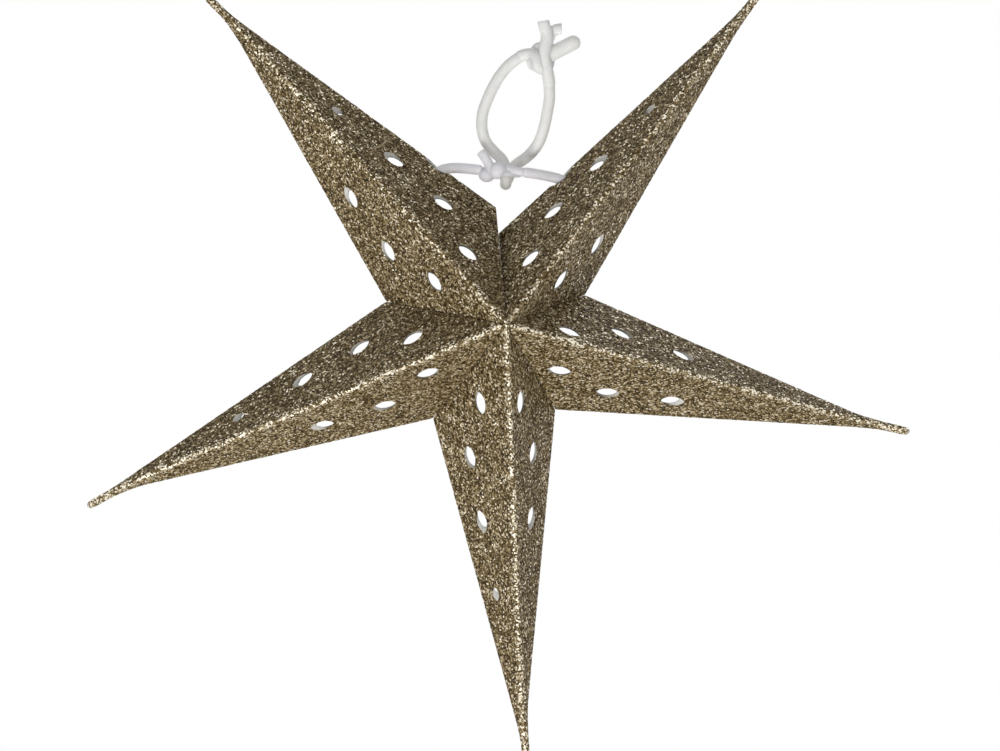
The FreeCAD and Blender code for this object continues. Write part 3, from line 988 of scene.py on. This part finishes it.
HANGER_ROUTE = millimetres(
    (-0.5, 0.0, 1.4), (-2.0, 0.0, 0.6), (-3.8, 0.0, -1.4), (-5.3, 0.1, -4.2), (-6.4, 0.2, -7.2),
    (-6.1, 0.2, -10.2), (-4.7, 0.1, -12.0), (-3.0, -0.1, -13.5), (-2.9, -0.1, -16.6),
    (-3.0, 3.0, -16.6), (-1.9, 3.1, -14.0), (0.0, 2.4, -12.9), (1.6, 1.5, -11.1), (2.4, 0.9, -8.9),
    (2.9, 0.5, -6.4), (3.3, 0.2, -4.0), (3.0, 0.0, -1.9),
)
TIE_LEFT_ROUTE = millimetres(
    (-13.9, 0.0, -16.1), (-12.3, 0.0, -14.7), (-10.6, -0.3, -14.3), (-8.3, -0.9, -14.4),
    (-6.0, -1.6, -14.7),
)
TIE_RIGHT_ROUTE = millimetres(
    (6.6, 0.0, -16.8), (4.8, 0.0, -15.9), (3.1, -0.3, -15.5), (1.5, -0.9, -15.2),
    (-0.8, -1.7, -14.9),
)


def nurbs_line(name: str, route: tuple, resolution: int = 14) -> bpy.types.Object:
    """Return a smooth open line that has a route's points as its control points."""
    curve = bpy.data.curves.new(name, "CURVE")
    curve.dimensions = "3D"
    curve.resolution_u = resolution
    curve.render_resolution_u = resolution
    spline = curve.splines.new("NURBS")
    spline.points.add(len(route) - 1)
    for point, place in zip(spline.points, route):
        point.co = (*place, 1.0)
    spline.order_u = 3
    spline.use_endpoint_u = True
    return new_object(name, curve)


def line_places(route: tuple) -> np.ndarray:
    """Return the places along a route's smooth line."""
    line = nurbs_line("measure", route)
    mesh = bpy.data.meshes.new_from_object(line)
    places = np.empty(3 * len(mesh.vertices))
    mesh.vertices.foreach_get("co", places)
    curve = line.data
    bpy.data.objects.remove(line)
    bpy.data.curves.remove(curve)
    bpy.data.meshes.remove(mesh)
    return places.reshape(-1, 3)


class StrandEnd(Enum):
    """How a strand ends."""

    ROUND = "round"
    CUT = "cut"


@dataclass(frozen=True)
class Strand:
    """A length of elastic in a knot: a round section carried along a smooth route."""

    route: tuple
    diameter: float
    end: StrandEnd = StrandEnd.ROUND
    sides: int = 20
    end_rings: int = 5
    cut_reach: float = 0.18
    cut_bevel: float = 0.25

    def end_profile(self, style: StrandEnd) -> tuple:
        """Return distances from an end and the radii there, of a half ball or a bevelled cut."""
        radius = self.diameter / 2.0
        angles = np.linspace(0.0, math.pi / 2.0, self.end_rings + 1)[:-1]
        if style is StrandEnd.ROUND:
            return radius * (1.0 - np.cos(angles)), radius * np.sin(angles)
        share = 1.0 - self.cut_bevel + self.cut_bevel * np.sin(angles)
        return self.cut_reach * radius * (1.0 - np.cos(angles)), radius * share

    def arrays(self) -> tuple:
        """Return the places and triangles of a circle that is carried along the route.

        Each station's circle lies square to the line, and its first direction is the one before it,
        turned as little as the line's own turn asks.
        """
        line = line_places(self.route)
        ways = unit(np.gradient(line, axis=0))
        measure = np.concatenate(([0.0], np.cumsum(np.linalg.norm(np.diff(line, axis=0), axis=1))))
        radius = self.diameter / 2.0
        start, start_radii = self.end_profile(StrandEnd.ROUND)
        end, end_radii = self.end_profile(self.end)
        inner = measure[(measure > radius) & (measure < measure[-1] - radius)]
        s = np.concatenate((start, inner, measure[-1] - end[::-1]))
        radii = np.concatenate((start_radii, np.full(len(inner), radius), end_radii[::-1]))
        centre = np.stack([np.interp(s, measure, line[:, k]) for k in range(3)], axis=1)
        way = unit(np.stack([np.interp(s, measure, ways[:, k]) for k in range(3)], axis=1))
        frames = [unit(np.cross(way[0], OBLIQUE))]
        for here in way[1:]:
            frames.append(unit(frames[-1] - here * (frames[-1] @ here)))
        frames = np.array(frames)
        other = np.cross(way, frames)
        turn = np.linspace(0.0, 2.0 * math.pi, self.sides, endpoint=False)[:, None]
        circles = frames[:, None] * np.cos(turn) + other[:, None] * np.sin(turn)
        return closed_rings(centre[:, None] + radii[:, None, None] * circles, centre[[0, -1]])


@dataclass(frozen=True)
class Lump:
    """A rounded lump of pulled-tight elastic: a ball, stretched along one direction."""

    centre: tuple
    radius: float
    way: tuple
    stretch: float
    rings: int = 12
    sides: int = 20

    def arrays(self) -> tuple:
        """Return the places and triangles of the stretched ball, in rings of latitude."""
        latitude = np.linspace(0.0, math.pi, self.rings + 1)[1:-1, None, None]
        turn = np.linspace(0.0, 2.0 * math.pi, self.sides, endpoint=False)[:, None]
        axis = unit(self.way)
        across = unit(np.cross(axis, OBLIQUE))
        circle = across * np.cos(turn) + np.cross(axis, across) * np.sin(turn)
        rings = axis * (np.cos(latitude) * self.stretch) + circle * np.sin(latitude)
        places, faces = closed_rings(rings, np.array((axis, -axis)) * self.stretch)
        return np.array(self.centre) + self.radius * places, faces[:, ::-1]


def knot_piece(
    name: str,
    shapes: tuple,
    finish: bpy.types.Material,
    nodes: tuple,
) -> bpy.types.Object:
    """Make one piece from the strands and lumps of a knot.

    Args:
        name: the piece's name.
        shapes: strands and lumps.
        finish: the material.
        nodes: the nodes that the piece stands for.

    Returns:
        The new piece.
    """
    places, faces = [], []
    start = 0
    for shape in shapes:
        shape_places, shape_faces = shape.arrays()
        places.append(shape_places)
        faces.append(shape_faces + start)
        start += len(shape_places)
    piece = make_mesh(name, np.concatenate(places), np.concatenate(faces), [finish], smooth=True)
    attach(piece, BODY)
    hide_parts(*nodes)
    LOG.info("%s: %d triangles", name, sum(len(part) for part in faces))
    return piece


@dataclass(frozen=True)
class HangingLoop:
    """Thick elastic that the star hangs by, closed by a knot at its top."""

    diameter: float = 0.0016
    length: float = 0.0400
    swelling: float = 1.08
    folded_swelling: float = 1.33
    colour: tuple = (0.95, 0.95, 0.925)
    shade: tuple = (0.90, 0.90, 0.87)

    def knot_shapes(self) -> tuple:
        """Return the knot's pulled-up strand, second tail, wrap, turn, folded end and core."""
        wide = self.diameter * self.swelling
        return (
            Strand(millimetres(
                (3.2, 0.0, -3.4), (3.1, -0.1, -1.9), (2.7, -0.5, -0.2), (2.4, -0.7, 1.2),
                (2.6, -0.6, 2.8), (2.9, -0.5, 4.1), (2.5, -0.6, 5.2), (2.3, -0.7, 6.2),
            ), wide, StrandEnd.CUT),
            Strand(millimetres(
                (2.4, -0.2, 2.0), (3.0, 0.0, 3.4), (3.3, 0.2, 4.4), (4.1, 0.3, 5.1),
                (4.9, 0.3, 5.1),
            ), self.diameter, StrandEnd.CUT),
            Strand(millimetres(
                (-1.6, 0.0, 0.9), (-0.6, 0.0, 1.4), (0.5, -0.2, 1.6), (1.3, -0.8, 1.2),
                (1.4, -0.9, 0.0), (2.1, -0.2, -0.6), (3.0, 0.8, -0.1), (3.1, 0.9, 1.2),
                (2.0, 0.8, 2.2),
            ), wide),
            Strand(millimetres((1.6, 0.4, 0.1), (1.1, 0.3, 1.1), (1.4, 0.2, 2.4), (2.4, 0.3, 2.8)),
                   wide),
            Strand(millimetres((2.2, 0.1, 0.8), (3.8, 0.2, 1.8), (5.4, 0.4, 2.6), (7.4, 0.6, 3.6)),
                   self.diameter * self.folded_swelling),
            Lump((0.0012, -0.0001, 0.0006), 0.00125, (0.3, 0.0, 1.0), 1.15),
        )

    def build(self) -> None:
        """Make the loop as a free cord, and its knot."""
        finish = ElasticFinish("hanger_elastic", self.colour, self.shade).material()
        loop = nurbs_line("hanging_loop", HANGER_ROUTE, 16)
        loop.data.bevel_depth = self.diameter / 2.0
        loop.data.bevel_resolution = 6
        loop.data.use_fill_caps = True
        loop.data.materials.append(finish)
        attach(loop, BODY)
        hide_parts("hanging_elastic")
        knot = knot_piece("hanging_loop_knot", self.knot_shapes(), finish,
                          ("hanging_knot",))
        LOG.info("hanging_loop: %d control points", len(HANGER_ROUTE))


@dataclass(frozen=True)
class TieElastic:
    """Thin elastic through the two unglued side folds, knotted in the middle."""

    diameter: float = 0.0012
    arm_diameter: float = 0.00145
    tail_diameter: float = 0.0014
    swelling: float = 1.05
    colour: tuple = (0.95, 0.94, 0.985)
    shade: tuple = (0.90, 0.885, 0.94)

    def build(self) -> None:
        """Make both arms with their stopper knots, and the knot in the middle."""
        finish = ElasticFinish("tie_elastic", self.colour, self.shade).material()
        for side, route in (("left", TIE_LEFT_ROUTE), ("right", TIE_RIGHT_ROUTE)):
            stopper = Lump(route[0], 0.0013, (1.0, 0.0, 0.4), 0.95)
            knot_piece(f"tie_{side}", (Strand(route, self.arm_diameter), stopper), finish,
                       (f"tie_elastic_{side}",))
        knot_piece("tie_middle_knot", self.knot_shapes(), finish, ("tie_knot",))

    def knot_shapes(self) -> tuple:
        """Return the strands and lumps of the knot in the middle."""
        return (
            Strand(millimetres(
                (-6.4, -1.5, -14.6), (-5.4, -1.9, -15.1), (-4.4, -2.1, -14.8), (-3.5, -1.9, -14.3),
                (-2.2, -1.7, -14.7), (-0.2, -1.6, -15.0),
            ), self.diameter * self.swelling),
            Strand(millimetres(
                (-5.0, -1.2, -15.6), (-4.9, -2.3, -15.0), (-5.2, -2.1, -14.1), (-5.7, -1.8, -13.0),
                (-6.4, -1.5, -12.1),
            ), self.tail_diameter, StrandEnd.CUT),
            Strand(millimetres(
                (-4.0, -2.4, -15.2), (-2.9, -2.0, -15.0), (-1.2, -1.0, -15.1), (-1.2, 0.6, -15.1),
                (-2.9, 1.6, -15.1), (-4.6, 0.6, -15.1), (-4.6, -1.0, -15.1), (-3.6, -2.0, -14.7),
            ), self.diameter),
            Lump((-0.0056, -0.0017, -0.0153), 0.00105, (1.0, 0.0, -0.2), 1.1),
            Lump((-0.0041, -0.0021, -0.0147), 0.00120, (1.0, 0.0, 0.5), 1.1),
        )


@dataclass(frozen=True)
class Studio:
    """Camera, soft lights, pale floor and white surroundings."""

    image_width: int = 1000
    focal_pixels: float = 17920.0
    sensor_width: float = 36.0
    distance: float = 2.5
    azimuth: float = 0.0
    elevation: float = 0.0
    target: tuple = (-0.00374, 0.0, -0.04329)
    ambient: float = 0.46
    floor_height: float = -0.65
    floor_half: float = 4.0
    floor_fade: tuple = (0.30, 1.20)
    floor_tone: float = 0.93
    floor_roughness: float = 0.9

    def camera(self) -> None:
        """Make the camera at the photograph's angle."""
        lens = bpy.data.cameras.new("camera")
        lens.sensor_width = self.sensor_width
        lens.lens = self.focal_pixels / self.image_width * self.sensor_width
        lens.clip_start, lens.clip_end = 0.05, 100.0
        camera = new_object("camera", lens)
        a, e = math.radians(self.azimuth), math.radians(self.elevation)
        back = np.array((math.sin(a) * math.cos(e), -math.cos(a) * math.cos(e), math.sin(e)))
        camera.location = np.array(self.target) + self.distance * back
        camera.rotation_euler = (math.radians(90.0 - self.elevation), 0.0, a)
        bpy.context.scene.camera = camera

    def lamp(self, name: str, place: tuple, size: float, watts: float) -> None:
        """Make a square soft light that looks at the star."""
        light = bpy.data.lights.new(name, "AREA")
        light.size = size
        light.energy = watts
        lamp = new_object(name, light)
        lamp.location = place
        way = Vector(self.target) - Vector(place)
        lamp.rotation_euler = way.to_track_quat("-Z", "Y").to_euler()

    def world(self) -> None:
        """Light the object at a plain level, and show white to the camera and in reflections."""
        world = bpy.data.worlds.new("surroundings")
        world.use_nodes = True
        bpy.context.scene.world = world
        sheet = NodeSheet(world.node_tree)
        sheet.tree.nodes.clear()
        backgrounds = []
        for strength in (self.ambient, 1.0):
            background = sheet.add("ShaderNodeBackground")
            background.inputs["Color"].default_value = (1.0, 1.0, 1.0, 1.0)
            background.inputs["Strength"].default_value = strength
            backgrounds.append(background)
        sheet.show(sheet.plain_sight(), backgrounds, sheet.add("ShaderNodeOutputWorld"))

    def floor(self) -> None:
        """Make a pale floor that turns white for the camera away from the star."""
        half, height = self.floor_half, self.floor_height
        signs = ((-1.0, -1.0), (1.0, -1.0), (1.0, 1.0), (-1.0, 1.0))
        corners = np.array([(x * half, y * half, height) for x, y in signs])
        sheet = NodeSheet.new("floor")
        flat = sheet.vector_math("MULTIPLY", sheet.object_place(), (1.0, 1.0, 0.0))
        length = sheet.result("ShaderNodeVectorMath", "LENGTH", (flat,))
        fade = sheet.add("ShaderNodeMapRange", interpolation_type="SMOOTHSTEP")
        for name, value in zip(("From Min", "From Max"), self.floor_fade):
            fade.inputs[name].default_value = value
        sheet.link(length.outputs["Value"], fade.inputs["Value"])
        share = sheet.math("MULTIPLY", sheet.plain_sight(), fade.outputs["Result"])
        shaders = (sheet.shader, sheet.add("ShaderNodeEmission"))
        sheet.show(share, shaders, sheet.tree.nodes["Material Output"])
        sheet.set(Base_Color=(*(self.floor_tone,) * 3, 1.0), Roughness=self.floor_roughness)
        floor = make_mesh("floor", corners, np.array(((0, 1, 2), (0, 2, 3))), [sheet.material])

    def build(self) -> None:
        """Set up the whole studio."""
        bpy.context.scene.view_settings.view_transform = "Standard"
        self.camera()
        self.lamp("key_low", (-0.12, -0.52, -0.60), 0.4, 4.8)
        self.lamp("fill_top", (-0.45, -0.65, 0.45), 0.5, 0.2)
        self.lamp("fill_back", (0.2, 0.9, 0.2), 0.7, 3.0)
        self.world()
        self.floor()


def main() -> None:
    """Build every piece around the frame, then the studio."""
    logging.basicConfig(level=logging.INFO, format="%(message)s")
    Studio().build()
    HangingLoop().build()
    TieElastic().build()
    GluedStar().build()


if __name__ == "__main__":
    main()
